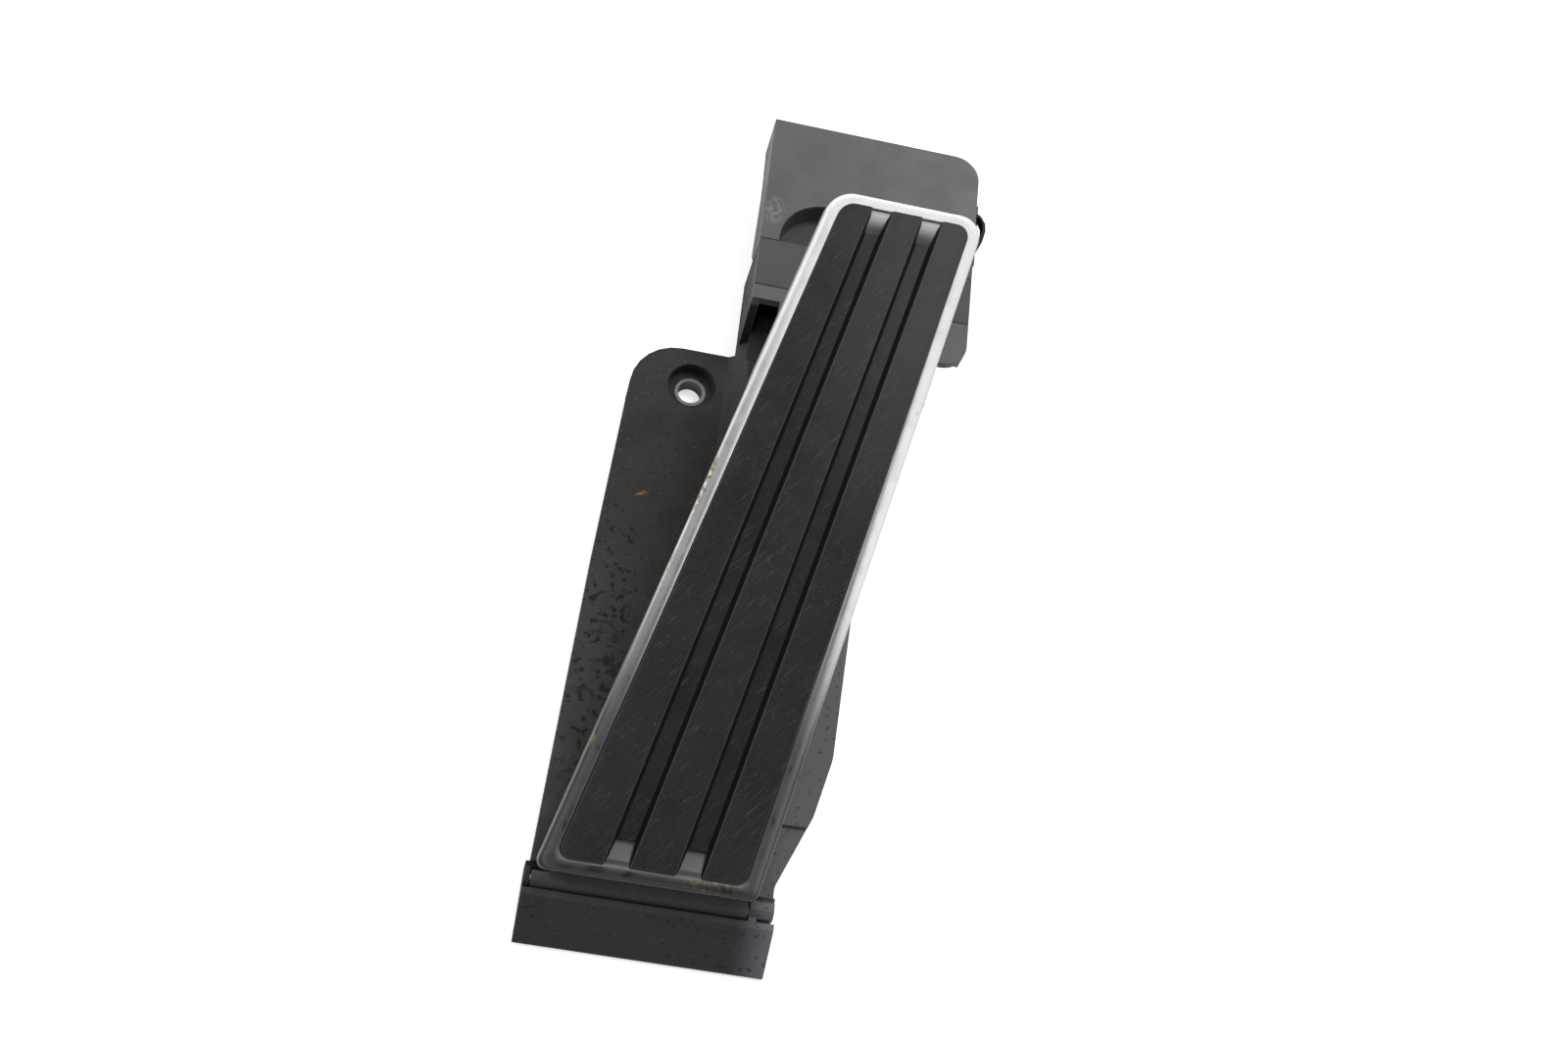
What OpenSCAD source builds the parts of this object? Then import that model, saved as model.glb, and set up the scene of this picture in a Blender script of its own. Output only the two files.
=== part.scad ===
// Floor-hinged accelerator pedal module. X runs across, Y from the foot to the sensor housing, Z up.
// The origin lies on the axis of the flank bolt, in the plane of the underside.

/* [Carrier] */
// Height of the flank above the underside
flank_h = 9; // [7:0.5:11]
// Thickness of the carrier's top skin
skin_t = 2.6; // [1.8:0.2:4]
// Thickness of the carrier's edge wall
edge_t = 2.4; // [1.6:0.2:3.2]
// Thickness of the ribs under the carrier
rib_t = 1.8; // [1.2:0.2:2.4]
// Spacing of the ribs under the carrier
rib_pitch = 21; // [16:1:24]
// Width of the foot
foot_w = 66.2; // [60:0.2:72]
// Left edge of the foot, from the flank bolt
foot_left = -24.8; // [-27:0.2:-23]
// Front edge of the foot, from the flank bolt
foot_front = -167.2; // [-170:0.2:-165]
// Radius of the flank's rounded corner
flank_corner_r = 14; // [8:1:18]
// Height of the raised middle above the underside
middle_h = 14.5; // [12:0.5:16]
// Height of the ramp's lip above the underside
ramp_h = 18.5; // [16:0.5:22]

/* [Bolts] */
// Inner radius of both steel sleeves
sleeve_r = 3.6; // [3:0.1:4]
// Wall of both steel sleeves
sleeve_wall = 1; // [0.8:0.1:1.4]
// Radius of the flank's bolt recess
recess_r = 7.1; // [6.5:0.1:8]
// Depth of the flank's bolt recess
recess_depth = 4; // [2:0.5:5]
// Place of the housing bolt across the module
house_bolt_x = 33; // [31:0.5:34]
// Place of the housing bolt along the module
house_bolt_y = 47; // [46.5:0.5:50]

/* [Housing] */
// Height of the housing's flat top
house_top = 32; // [30:0.5:34]
// Left side of the housing
house_left = 11.8; // [11:0.2:13]
// Width of the housing
house_w = 64.4; // [62:0.2:68]
// Back of the housing
house_back = 83.9; // [80:0.5:88]
// Seam between the bridge cover and the sensor housing
seam_back = 40.6; // [40:0.2:41.4]
// Seam between the bridge cover and the front roof
seam_front = 24.3; // [23.8:0.1:25]
// Wall thickness of the housing pieces
house_t = 2.5; // [2:0.1:3]
// Underside of the sensor housing
house_floor = 12; // [11:0.5:13]
// Radius of the round pocket over the housing bolt
pocket_r = 13.6; // [12:0.2:14]
// Depth of the round pocket over the housing bolt
pocket_depth = 6.5; // [4:0.5:8]

/* [Pad] */
// Length of the pad along its slope
pad_len = 187.3; // [178:0.1:190]
// Width of the pad at the foot
pad_w_foot = 58.1; // [52:0.1:60]
// Width of the pad at the top
pad_w_top = 41.7; // [37:0.1:43]
// Sideways lean of the pad's left edge from foot to top
pad_lean = 46.7; // [42:0.1:50]
// Slope of the pad at rest
pad_slope = 22; // [20:0.5:23]
// Depth of the tray's outer lip
lip_depth = 6.5; // [5.5:0.5:7]
// Thickness of the tray's sheet
tray_t = 1; // [0.8:0.1:1.2]
// Depth of the dished tray floor
dish_depth = 3.2; // [2.6:0.1:3.6]
// Width of the tray's bright rim beside the tread at the foot
rim_w_foot = 4.2; // [3.8:0.1:5]
// Width of the tray's bright rim beside the tread at the top
rim_w_top = 3.4; // [3.2:0.1:4.4]
// Depth of the two grooves in the tread
groove_depth = 2.1; // [1.5:0.1:2.4]
// Width of the grooves at the foot
groove_w_foot = 7.1; // [5:0.1:8]
// Width of the grooves at the top
groove_w_top = 5.9; // [4:0.1:7]
// Thickness of the pedal plate
plate_t = 2.4; // [2:0.1:3]
// Depth of the pedal body's edge and ribs, below the rim
body_depth = 10; // [9:0.5:10.5]

/* [Hinge] */
// Radius of the hinge pin
pin_r = 1.2; // [1:0.1:1.4]
// Outer radius of the hinge barrel
barrel_r = 2.4; // [2.2:0.1:2.6]
// Width of the hinge's right lug
lug_w = 7; // [5:0.2:8]
// Travel of the pedal
pedal_travel = 12; // [8:0.5:12]

/* [Lever] */
// Distance of the lever from the housing's right side
lever_inset = 31.7; // [31.2:0.1:33.2]
// Radius of the lever's shaft
shaft_r = 3; // [2.4:0.1:3.4]
// Radius of the lever's hub
hub_r = 6.2; // [5.8:0.1:6.3]
// Width of the lever's hub
hub_w = 14; // [12:0.5:15]
// Width of the lever's arm
arm_w = 6; // [5:0.2:6.4]
// Lever turn for each degree of pedal travel
lever_ratio = 2.3; // [2.2:0.05:2.4]
// Radius of the rollers at the lever's tip
roller_r = 3.4; // [3:0.1:3.6]
// Thickness of the two track ears
ear_t = 2.6; // [2:0.2:3]
// Radius of the lever's pressing nose
nose_r = 3; // [2.5:0.1:3.4]
// Distance of the nose from the shaft
nose_reach = 15; // [14.8:0.1:15.4]

/* [Springs] */
// Outer radius of the friction shoe
shoe_r = 8; // [7.6:0.1:8.1]
// Mean radius of the outer spring
outer_spring_r = 5.6; // [5.4:0.1:5.8]
// Mean radius of the inner spring
inner_spring_r = 3.3; // [3:0.1:3.6]
// Wire radius of the outer spring
outer_wire_r = 0.65; // [0.5:0.05:0.8]
// Wire radius of the inner spring
inner_wire_r = 0.5; // [0.4:0.05:0.6]
// Turns of the outer spring
outer_turns = 4.5; // [3:0.5:6]
// Turns of the inner spring
inner_turns = 6; // [4:0.5:8]

/* [Connector] */
// Middle of the connector socket along the module
socket_y = 61; // [58:0.5:64]
// Length of the connector socket
socket_len = 22; // [18:0.5:26]
// Height of the connector socket
socket_h = 11; // [9:0.5:12]
// Wall of the connector socket
socket_t = 1.6; // [1.2:0.1:2]
// Terminals in the connector
terminals = 6; // [4:1:6]

/* [Hidden] */

$fn = 48;
fit = 0.05;
gap = 0.3;
eps = 0.01;
far = 400;

house_right = house_left + house_w;
foot_right = foot_left + foot_w;
lever_x = house_right - lever_inset;

// Left side of the block at the housing's right front corner
block_left = house_right - 19.2;

// Hinge of the pedal, and the pad's lower edge above it
hinge_y = -152.2;
hinge_z = 8.4;
pad_y = hinge_y;
pad_z = hinge_z + 9.7;
pad_left = -23;
pad_pts = [[pad_left, 0], [pad_left + pad_w_foot, 0],
           [pad_left + pad_lean + pad_w_top, pad_len], [pad_left + pad_lean, pad_len]];
pad_radii = [2.4, 2.4, 5.8, 7.5];

// Outline of the tread, inside the tray's rim
rim_end_foot = 3.85;
rim_end_top = 3;
function side_left(v) = pad_left + pad_lean * v / pad_len;
function side_right(v) = pad_left + pad_w_foot + (pad_lean + pad_w_top - pad_w_foot) * v / pad_len;
tread_pts = [[side_left(rim_end_foot) + rim_w_foot, rim_end_foot],
             [side_right(rim_end_foot) - rim_w_foot, rim_end_foot],
             [side_right(pad_len - rim_end_top) - rim_w_top, pad_len - rim_end_top],
             [side_left(pad_len - rim_end_top) + rim_w_top, pad_len - rim_end_top]];
tread_radii = [3.2, 3.2, 3.4, 4.6];

// Lever pivot and the tip's place at rest
pivot_y = (seam_front + seam_back) / 2;
pivot_z = 20;
tip_y = -22;
tip_z = 53;
tip_reach = norm([pivot_y - tip_y, tip_z - pivot_z]);
tip_rise = atan2(tip_z - pivot_z, pivot_y - tip_y);
lever_travel = lever_ratio * pedal_travel;
nose_rise = lever_travel / 2;
nose_y = pivot_y - nose_reach * cos(nose_rise);
nose_z = pivot_z + nose_reach * sin(nose_rise);
tip_pin_r = 1.8;
tip_arm_r = 4.2;
arm_heel = 2.2;
ear_gap = arm_w / 2 + gap;

// Shoe and springs
shoe_top = nose_z - nose_r - gap;
shoe_cap = 2.4;
shoe_wall = 1.2;
shoe_skirt = 9.6;
guide_r = shoe_r + gap;
floor_t = 2;
seat_t = 1;
seat_z = floor_t + seat_t;
spring_top = shoe_top - shoe_cap;

// Sensor
bearing_t = 3;
bearing_left = lever_x - hub_w / 2 - 0.5 - bearing_t;
target_t = 1.6;
board_t = 1.6;
board_x = lever_x + hub_w / 2 + 0.4 + target_t + 0.8 + 1;
bearing_right = board_x + board_t + 0.6;
shaft_end = bearing_right + bearing_t + 1.4;
lid_t = 2;
lid_z = house_top - house_t;
board_z0 = house_floor + lid_t + gap;
board_z1 = house_top - house_t - 1;
board_y0 = seam_front + 1;
board_y1 = house_back - 8;
socket_z0 = house_floor + lid_t + 0.6;
window_top = socket_z0 + socket_h + gap;
socket_y0 = socket_y - socket_len / 2;
socket_y1 = socket_y + socket_len / 2;
socket_in = board_x + board_t + 1.2;
socket_out = house_right + 2;
bolt_boss_r = sleeve_r + sleeve_wall + 3;
pocket_x = 31;
pocket_y = 41.8;

// Screws and the slot in the roof for the lever
screw_r = 1.5;
screw_head_r = 2.7;
cover_screw_x = [lever_x - 14.7, house_right - 10.2];
cover_screw_y = 30;
lid_screw_places = [[house_left + 8.2, house_back - 6.9], [lever_x + 5.5, house_back - 5.9],
                    [house_right - 7.7, house_back - 6.9]];
slot_w = arm_w + 2.4;

left_lug_w = 1.6;

// Geometry helpers
function unit(a, b) = (b - a) / norm(b - a);
function meet(p, u, q, v) = p + u * (((q[0] - p[0]) * v[1] - (q[1] - p[1]) * v[0]) / (u[0] * v[1] - u[1] * v[0]));
function inset_corner(a, b, c, d) =
    let (u = unit(a, b), v = unit(b, c))
    meet(b + d * [-u[1], u[0]], u, b + d * [-v[1], v[0]], v);
function inset(pts, d) =
    let (n = len(pts))
    [for (i = [0 : n - 1]) inset_corner(pts[(i + n - 1) % n], pts[i], pts[(i + 1) % n], d)];
function turn(a) = a > 180 ? a - 360 : (a < -180 ? a + 360 : a);
function corner(a, b, c, r, n) =
    let (u = unit(b, a), v = unit(b, c), half = acos(u * v) / 2, w = unit([0, 0], u + v),
         mid = b + w * (r / sin(half)), p = b + u * (r / tan(half)) - mid, q = b + v * (r / tan(half)) - mid,
         a0 = atan2(p[1], p[0]), sweep = turn(atan2(q[1], q[0]) - a0))
    [for (i = [0 : n]) mid + r * [cos(a0 + sweep * i / n), sin(a0 + sweep * i / n)]];
function rounded(pts, radii, n) =
    let (m = len(pts))
    [for (i = [0 : m - 1]) each corner(pts[(i + m - 1) % m], pts[i], pts[(i + 1) % m], radii[i], n)];
function ring(pts, radii, d, n) = rounded(inset(pts, d), [for (r = radii) max(r - d, 0.8)], n);
function pad_ring(d, n) = ring(pad_pts, pad_radii, d, n);
function spin(p, c, a) = c + [(p[0] - c[0]) * cos(a) - (p[1] - c[1]) * sin(a),
                              (p[0] - c[0]) * sin(a) + (p[1] - c[1]) * cos(a)];

// Extrudes a YZ outline along X between two values of X
module along_x(x0, x1) translate([x0, 0, 0]) rotate([90, 0, 90]) linear_extrude(x1 - x0) children();
module rod_x(r, x0, x1, y, z) translate([x0, y, z]) rotate([0, 90, 0]) cylinder(r = r, h = x1 - x0);
module post(r, x, y, z0, z1) translate([x, y, z0]) cylinder(r = r, h = z1 - z0);
module block(x0, x1, y0, y1, z0, z1) translate([x0, y0, z0]) cube([x1 - x0, y1 - y0, z1 - z0]);
// Places children in the pad's own frame: X across, Y up the slope, Z out of the tread
module on_pad() translate([0, pad_y, pad_z]) rotate([pad_slope, 0, 0]) children();
module flat_pad(d, z0, z1) translate([0, 0, z0]) linear_extrude(z1 - z0) polygon(pad_ring(d, 6));
module flat_tread(d, z0, z1)
    translate([0, 0, z0])
        linear_extrude(z1 - z0)
            polygon(ring(tread_pts, tread_radii, d, 6));
// A closed solid through rings of points, each given as [inset, height]
module loft_pad(steps, n) {
    rings = [for (s = steps) [for (p = pad_ring(s[0], n)) [p[0], p[1], s[1]]]];
    m = len(rings[0]);
    k = len(rings);
    points = [for (r = rings) each r];
    sides = [for (i = [0 : k - 2]) for (j = [0 : m - 1])
             [i * m + j, i * m + (j + 1) % m, (i + 1) * m + (j + 1) % m, (i + 1) * m + j]];
    first = [for (j = [m - 1 : -1 : 0]) j];
    last = [for (j = [0 : m - 1]) (k - 1) * m + j];
    polyhedron(points, concat(sides, [first], [last]), convexity = 6);
}

// Outline of the carrier's flat part, and of its inside
left_edge = [[foot_left + 0.3, -156.5], [foot_left + 1.1, -149.6], [-20.8, -57.5], [-18.2, -2]];
right_edge = [[house_left + 44, -2], [54.6, -40], [54.1, -66.9], [52.9, -107.1], [49.1, -124.2],
              [40.8, -144.4], [foot_right - 0.4, -156.5]];
flank_back = 12;
plate_pts = concat(left_edge, [[-17.9, flank_back], [house_left + 44, flank_back]], right_edge);
plate_radii = [1, 20, 60, 60, flank_corner_r, 1, 6, 20, 40, 14, 14, 6, 1];
function ccw(pts) = [for (i = [len(pts) - 1 : -1 : 0]) pts[i]];
plate_outline = rounded(ccw(plate_pts), ccw(plate_radii), 6);
plate_inside = rounded(inset(ccw(plate_pts), edge_t), [for (r = ccw(plate_radii)) max(r - edge_t, 0.6)], 3);

module plate_pockets() {
    difference() {
        polygon(plate_inside);
        for (x = [-rib_pitch, 0.6 * rib_pitch, 1.6 * rib_pitch])
            translate([x - rib_t / 2, -far])
                square([rib_t, 2 * far]);
        for (i = [0 : 9])
            translate([-40, flank_back - 10 - i * rib_pitch + rib_pitch / 2])
                square([120, rib_t]);
        circle(r = sleeve_r + sleeve_wall + 3);
        translate([end_x, end_y])
            circle(r = end_r + 2.5);
        translate([-40, -200])
            square([120, 200 + hinge_y + 8.8]);
    }
}

// Left and right cheeks, which carry the bridge cover
cheek_y = 9.7;
cheek_lean_y = cheek_y + 14;
cheek_pts = [[19.6, house_top], [seam_front, house_top], [seam_front, house_top - house_t],
             [seam_back - 0.2, house_top - house_t], [seam_back - 0.2, 7.5], [27, 4.8], [15.4, 10.9]];

module carrier_shell() {
    difference() {
        linear_extrude(flank_h)
            polygon(plate_outline);
        translate([0, 0, -eps])
            linear_extrude(flank_h - skin_t + eps)
                plate_pockets();
        // Lower step of the right wing beside the foot
        translate([0, 0, flank_h - 1.2])
            linear_extrude(2)
                polygon([[36.5, -149], [60, -149], [60, -127], [36.5, -127.6]]);
        // Room for the hinge barrel
        block(foot_left - 1, foot_right + 1, -170, hinge_y + barrel_r + 2.2, -1, flank_h + 1);
    }
}

// Narrow land on top of the ramp, just in front of the hinge barrel
land_y = hinge_y - barrel_r - gap;
land_z = 10.5;

module foot() {
    // Ramp, land and barrel channel in one profile
    along_x(foot_left, foot_right)
        polygon([[foot_front, 0], [foot_front, 1.2], [land_y - 2.5, land_z - 0.6], [land_y - 2, land_z - 0.1],
                 [land_y - 1.5, land_z], [land_y - 0.2, land_z], [land_y, land_z - 0.2], [land_y, 4],
                 [hinge_y + barrel_r + 0.8, 4], [hinge_y + barrel_r + 0.8, 6.6],
                 [hinge_y + barrel_r + 2.4, flank_h - 1.2], [hinge_y + barrel_r + 2.4, 0]]);
}

module foot_hollow() {
    for (i = [0 : 2])
        along_x(foot_left + edge_t + i * (foot_w - edge_t) / 3, foot_left + (i + 1) * (foot_w - edge_t) / 3)
            polygon([[foot_front + 5, -1], [foot_front + 5, 2], [land_y - 3.6, 7], [land_y - 3.6, -1]]);
}

// The thin left lug follows the barrel, the wide right one has a ridge across its top
module left_lug() {
    rod_x(barrel_r, foot_left, foot_left + left_lug_w, hinge_y, hinge_z);
    block(foot_left, foot_left + left_lug_w, hinge_y - barrel_r, hinge_y + barrel_r + 1, 3, hinge_z);
}

module right_lug() {
    along_x(foot_right - lug_w, foot_right - 0.4)
        polygon([[hinge_y - 1.7, 3], [hinge_y - 1.7, hinge_z + 1], [hinge_y + 0.4, hinge_z + 2.6],
                 [hinge_y + 2.5, hinge_z + 2.1], [hinge_y + 3, hinge_z + 1.5], [hinge_y + 3.3, 3]]);
    // Small web that ties the lug to the land
    along_x(foot_right - lug_w, foot_right - lug_w + 2.2)
        polygon([[land_y - 0.4, 3], [land_y - 0.4, land_z - 0.1], [hinge_y - 1.6, land_z - 0.1], [hinge_y - 1.6, 3]]);
}

module raised_middle() {
    intersection() {
        translate([0, seam_back - 0.2, 0])
            rotate([90, 0, 0])
                linear_extrude(80)
                    polygon([[9.7, flank_h - eps], [9.7 + middle_h - flank_h, middle_h],
                             [49, middle_h], [49 + middle_h - flank_h, flank_h - eps]]);
        union() {
            along_x(0, house_left)
                polygon([[-36, 0], [-28, middle_h], [flank_back, middle_h], [flank_back, 0]]);
            along_x(house_left - eps, 60)
                polygon([[-36, 0], [-28, middle_h], [28, middle_h], [28, 0]]);
        }
    }
    // Ramp up to the opening, with its rounded lip
    along_x(15.6, 29)
        polygon([[5, middle_h - eps], [21, ramp_h - 0.1], [23.2, ramp_h - 1.6], [23.2, middle_h - eps]]);
    rod_x(1.6, 15.6, 29, 21.6, ramp_h - 1.6);
    along_x(14.2, 15.6)
        polygon([[9, middle_h - eps], [17, middle_h + 2.6], [19, middle_h + 2.6], [19, middle_h - eps]]);
}

module front_roof() {
    translate([0, 0, house_top - 3])
        linear_extrude(3)
            difference() {
                union() {
                    translate([house_left, 19.6])
                        square([house_w, seam_front - 19.6]);
                    translate([20, 15])
                        square([house_right - block_r - 20, seam_front - 15]);
                    intersection() {
                        right_block(0);
                        square([far, seam_front]);
                    }
                }
                translate([lever_x - slot_w / 2, 0])
                    square([slot_w, 60]);
            }
}

// Outline of the block at the right front corner, with its rounded corner
block_r = 7;
module right_block(d) {
    translate([block_left + d, cheek_y + d])
        square([house_right - block_r - block_left - d, seam_back - 0.2 - cheek_y - d]);
    translate([house_right - block_r, cheek_y + block_r])
        circle(r = block_r - d);
    translate([house_right - block_r, cheek_y + block_r])
        square([block_r - d, seam_back - 0.2 - cheek_y - block_r]);
}

module right_cheek() {
    // The walls lean back under the roof, so the roof stands out over them
    intersection() {
        linear_extrude(lid_z)
            difference() {
                right_block(0);
                right_block(house_t);
                translate([block_left - 1, cheek_y + block_r])
                    square([10, far]);
            }
        along_x(block_left - 1, house_right + 1)
            polygon([[cheek_y, house_top], [cheek_y, lid_z], [cheek_y + 6, house_floor - skin_t], [far, house_floor - skin_t],
                     [far, house_top]]);
    }
    difference() {
        along_x(block_left, house_right)
            polygon([[cheek_y, lid_z + eps], [cheek_y + 1.4, lid_z - 2.4], [cheek_lean_y, house_floor - skin_t],
                     [cheek_lean_y + house_t, house_floor - skin_t], [cheek_y + 1.4 + house_t, lid_z - 2.4],
                     [cheek_y + 1.4 + house_t, lid_z + eps]]);
        difference() {
            block(block_left - 1, house_right + 1, 0, 60, 0, 40);
            linear_extrude(40)
                right_block(0);
        }
    }
}

tongue_right = house_right - 6.2;
module tongue() {
    difference() {
        block(20, tongue_right, flank_back - 4, 70, 0, house_floor);
        // Hollow under the tongue, in four bays
        for (x = [20 + edge_t, (20 + tongue_right + edge_t) / 2])
            for (y = [41.5, 56.6])
                block(x, x + (tongue_right - 20) / 2 - 1.5 * edge_t, y, y + 11.4, -1, house_floor - skin_t);
    }
    post(bolt_boss_r, house_bolt_x, house_bolt_y, 0, house_floor);
}

module bearing(x0) {
    rod_x(hub_r - 0.6, x0, x0 + bearing_t, pivot_y, pivot_z);
    block(x0, x0 + bearing_t, pivot_y - hub_r + 0.6, pivot_y + hub_r - 0.6, 1, pivot_z);
}

module base_carrier() color([0.13, 0.125, 0.12]) {
    difference() {
        union() {
            carrier_shell();
            foot();
            raised_middle();
            front_roof();
            right_cheek();
            along_x(house_left, house_left + house_t)
                polygon(cheek_pts);
            // Floor strip that ties the left cheek to the middle
            block(house_left, 24, 15.4, seam_back - 0.2, 4.8, 7.4);
            tongue();
            // Floor inside the right cheek
            block(block_left + 3, house_right - 1, cheek_lean_y + 1, seam_back - 0.2, house_floor - skin_t, house_floor);
            for (x = cover_screw_x)
                post(3.2, x, cover_screw_y, house_floor - 1, lid_z);
            post(sleeve_r + sleeve_wall + 3, 0, 0, 0, flank_h - recess_depth);
            post(end_r + 1.2, end_x, end_y, 3, end_base);
            block(house_left + 44, block_left + 3, -2, seam_back - 0.2, 0, flank_h);
        }
        // Bolt holes
        post(recess_r, 0, 0, flank_h - recess_depth, flank_h + 1);
        post(sleeve_r + sleeve_wall + fit, 0, 0, -1, flank_h);
        post(sleeve_r + sleeve_wall + fit, house_bolt_x, house_bolt_y, -1, house_floor + 1);
        foot_hollow();
        for (x = cover_screw_x)
            post(screw_r + fit, x, cover_screw_y, house_floor + 4, lid_z + 1);
        // Well for the lever, the shoe and its guide
        block(bearing_left - 0.6, bearing_right + bearing_t + 0.6, 24, 41.2, floor_t, middle_h + 1);
        post(guide_r + 2, lever_x, nose_y, floor_t, middle_h + 1);
        block(lever_x - slot_w / 2, lever_x + slot_w / 2, -6, 24, middle_h - 2, middle_h + 1);
    }
    // Guide ring of the shoe
    difference() {
        post(guide_r + 1.6, lever_x, nose_y, floor_t - eps, middle_h - 1);
        post(guide_r, lever_x, nose_y, floor_t - 1, middle_h);
        block(0, 80, pivot_y - hub_r - 0.8, 60, 0, 40);
    }
    // Lugs of the hinge pin
    difference() {
        union() {
            left_lug();
            right_lug();
        }
        rod_x(pin_r + fit, foot_left + 0.5, foot_right + 1, hinge_y, hinge_z);
    }
    // Bearings of the lever's shaft
    difference() {
        union() {
            bearing(bearing_left);
            bearing(bearing_right);
        }
        rod_x(shaft_r + fit, bearing_left - 1, bearing_right + bearing_t + 1, pivot_y, pivot_z);
    }
}

module sleeve(x, y, h) {
    difference() {
        post(sleeve_r + sleeve_wall, x, y, 0, h);
        post(sleeve_r, x, y, -1, h + 1);
    }
}

module flank_sleeve() color([0.75, 0.76, 0.77]) {
    sleeve(0, 0, flank_h - recess_depth);
}

module housing_sleeve() color([0.75, 0.76, 0.77]) {
    sleeve(house_bolt_x, house_bolt_y, house_top - pocket_depth);
}

module housing_outline(d) {
    r_back = 8 - d;
    translate([house_left + d, seam_back])
        square([house_w - 2 * d - r_back, house_back - d - seam_back]);
    translate([house_left + d, seam_back])
        square([house_w - 2 * d, house_back - d - r_back - seam_back]);
    translate([house_right - d - r_back, house_back - d - r_back])
        circle(r = r_back);
}

module sensor_housing() color([0.27, 0.27, 0.28]) {
    difference() {
        translate([0, 0, house_floor])
            linear_extrude(house_top - house_floor)
                housing_outline(0);
        difference() {
            translate([0, 0, house_floor - 1])
                linear_extrude(lid_z - house_floor + 1) {
                    housing_outline(house_t);
                    translate([house_left + house_t, seam_back - 1])
                        square([house_w - 2 * house_t, 2]);
                }
            // Pocket well, bolt boss, screw bosses and the rail over the board
            post(pocket_r + 2, pocket_x, pocket_y, lid_z - pocket_depth, house_top);
            post(bolt_boss_r, house_bolt_x, house_bolt_y, house_floor, house_top);
            for (p = lid_screw_places)
                post(3.4, p[0], p[1], house_floor + lid_t, house_top);
            block(board_x - 1.4, board_x + board_t + 1.4, seam_back + 3, board_y1 + 1, board_z1 - 2, house_top);
        }
        // Round pocket with drafted wall
        translate([pocket_x, pocket_y, house_top - pocket_depth])
            cylinder(r1 = pocket_r - 0.8, r2 = pocket_r, h = pocket_depth);
        post(pocket_r, pocket_x, pocket_y, house_top - eps, house_top + 1);
        post(sleeve_r + sleeve_wall + fit, house_bolt_x, house_bolt_y, house_floor - 1, house_top);
        block(board_x - 0.1, board_x + board_t + 0.1, board_y0, board_y1 + 0.2, house_floor - 1, board_z1 + 0.1);
        // Raised lower edge of the left wall, over a thinner inner skirt
        along_x(house_left - 1, house_left + house_t / 2)
            polygon([[39, 0], [39, 18.4], [seam_back, 18.4], [44.5, 14.6], [62.9, 18.6], [85, 14.3], [85, 0]]);
        // Window of the connector socket
        block(house_right - house_t - 1, house_right + 1, socket_y0 - gap, socket_y1 + gap,
              socket_z0 - gap, window_top);
        for (p = lid_screw_places)
            post(screw_r + fit, p[0], p[1], house_floor, lid_z);
        block(house_left - 1, house_right + 1, 0, seam_back, 0, 40);
    }
}

module housing_lid() color([0.2, 0.2, 0.21]) {
    difference() {
        translate([0, 0, house_floor])
            linear_extrude(lid_t)
                housing_outline(house_t + gap);
        block(0, 100, 0, seam_back + 0.6, 0, 40);
        post(bolt_boss_r + gap, house_bolt_x, house_bolt_y, 0, 40);
        for (p = lid_screw_places)
            post(screw_r + fit, p[0], p[1], house_floor - 1, house_floor + lid_t + 1);
    }
}

module bridge_cover() color([0.28, 0.28, 0.29]) {
    difference() {
        union() {
            block(house_left, house_right, seam_front + 0.2, seam_back - 0.2, lid_z, house_top);
            // Lip that closes the front of the round pocket
            block(house_left + house_t + gap, pocket_x + pocket_r + 2, seam_back - 1.8, seam_back - 0.2,
                  house_top - pocket_depth - 1, lid_z + eps);
        }
        block(lever_x - slot_w / 2, lever_x + slot_w / 2, 0, pivot_y - 0.6, 0, 40);
        for (x = cover_screw_x) {
            post(screw_r + fit, x, cover_screw_y, 0, 40);
            post(screw_head_r + 0.2, x, cover_screw_y, house_top - 1.2, 40);
        }
    }
}

module cover_screws() color([0.6, 0.6, 0.6]) {
    for (x = cover_screw_x) {
        difference() {
            post(screw_head_r, x, cover_screw_y, house_top - 1.2, house_top - 0.1);
            post(1.2, x, cover_screw_y, house_top - 0.9, house_top);
        }
        post(screw_r, x, cover_screw_y, lid_z - 7, house_top - 1.2);
    }
}

module lid_screws() color([0.6, 0.6, 0.6]) {
    for (p = lid_screw_places) {
        post(screw_r, p[0], p[1], house_floor - eps, house_floor + 9);
        difference() {
            post(screw_head_r, p[0], p[1], house_floor - 1.3, house_floor);
            post(1.2, p[0], p[1], house_floor - 2, house_floor - 0.6);
        }
    }
}

module connector_socket() color([0.1, 0.1, 0.1]) {
    difference() {
        union() {
            block(socket_in, socket_out, socket_y0, socket_y1, socket_z0, socket_z0 + socket_h);
            // Flange inside the housing's wall
            block(house_right - house_t - 1.6, house_right - house_t - gap, socket_y0 - 2, socket_y1 + 2,
                  socket_z0, socket_z0 + socket_h + 2);
        }
        block(socket_in + 2, socket_out + 1, socket_y0 + socket_t, socket_y1 - socket_t,
              socket_z0 + socket_t, socket_z0 + socket_h - socket_t);
        for (i = [0 : terminals - 1])
            block(socket_in - 1, socket_in + 3, terminal_y(i) - 0.5, terminal_y(i) + 0.5,
                  terminal_z - 0.5, terminal_z + 0.5);
    }
    // Coding ribs inside the mouth
    for (y = [socket_y0 + 6, socket_y1 - 7])
        block(socket_in + 2 - eps, socket_out - 2, y, y + 1, socket_z0 + socket_t - eps, socket_z0 + socket_t + 1.2);
}

terminal_z = socket_z0 + socket_h / 2;
function terminal_y(i) = socket_y + (i - (terminals - 1) / 2) * 2.8;

module connector_terminals() color([0.8, 0.68, 0.35]) {
    for (i = [0 : terminals - 1])
        block(board_x + board_t, socket_in + 8, terminal_y(i) - 0.4, terminal_y(i) + 0.4,
              terminal_z - 0.4, terminal_z + 0.4);
}

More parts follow.
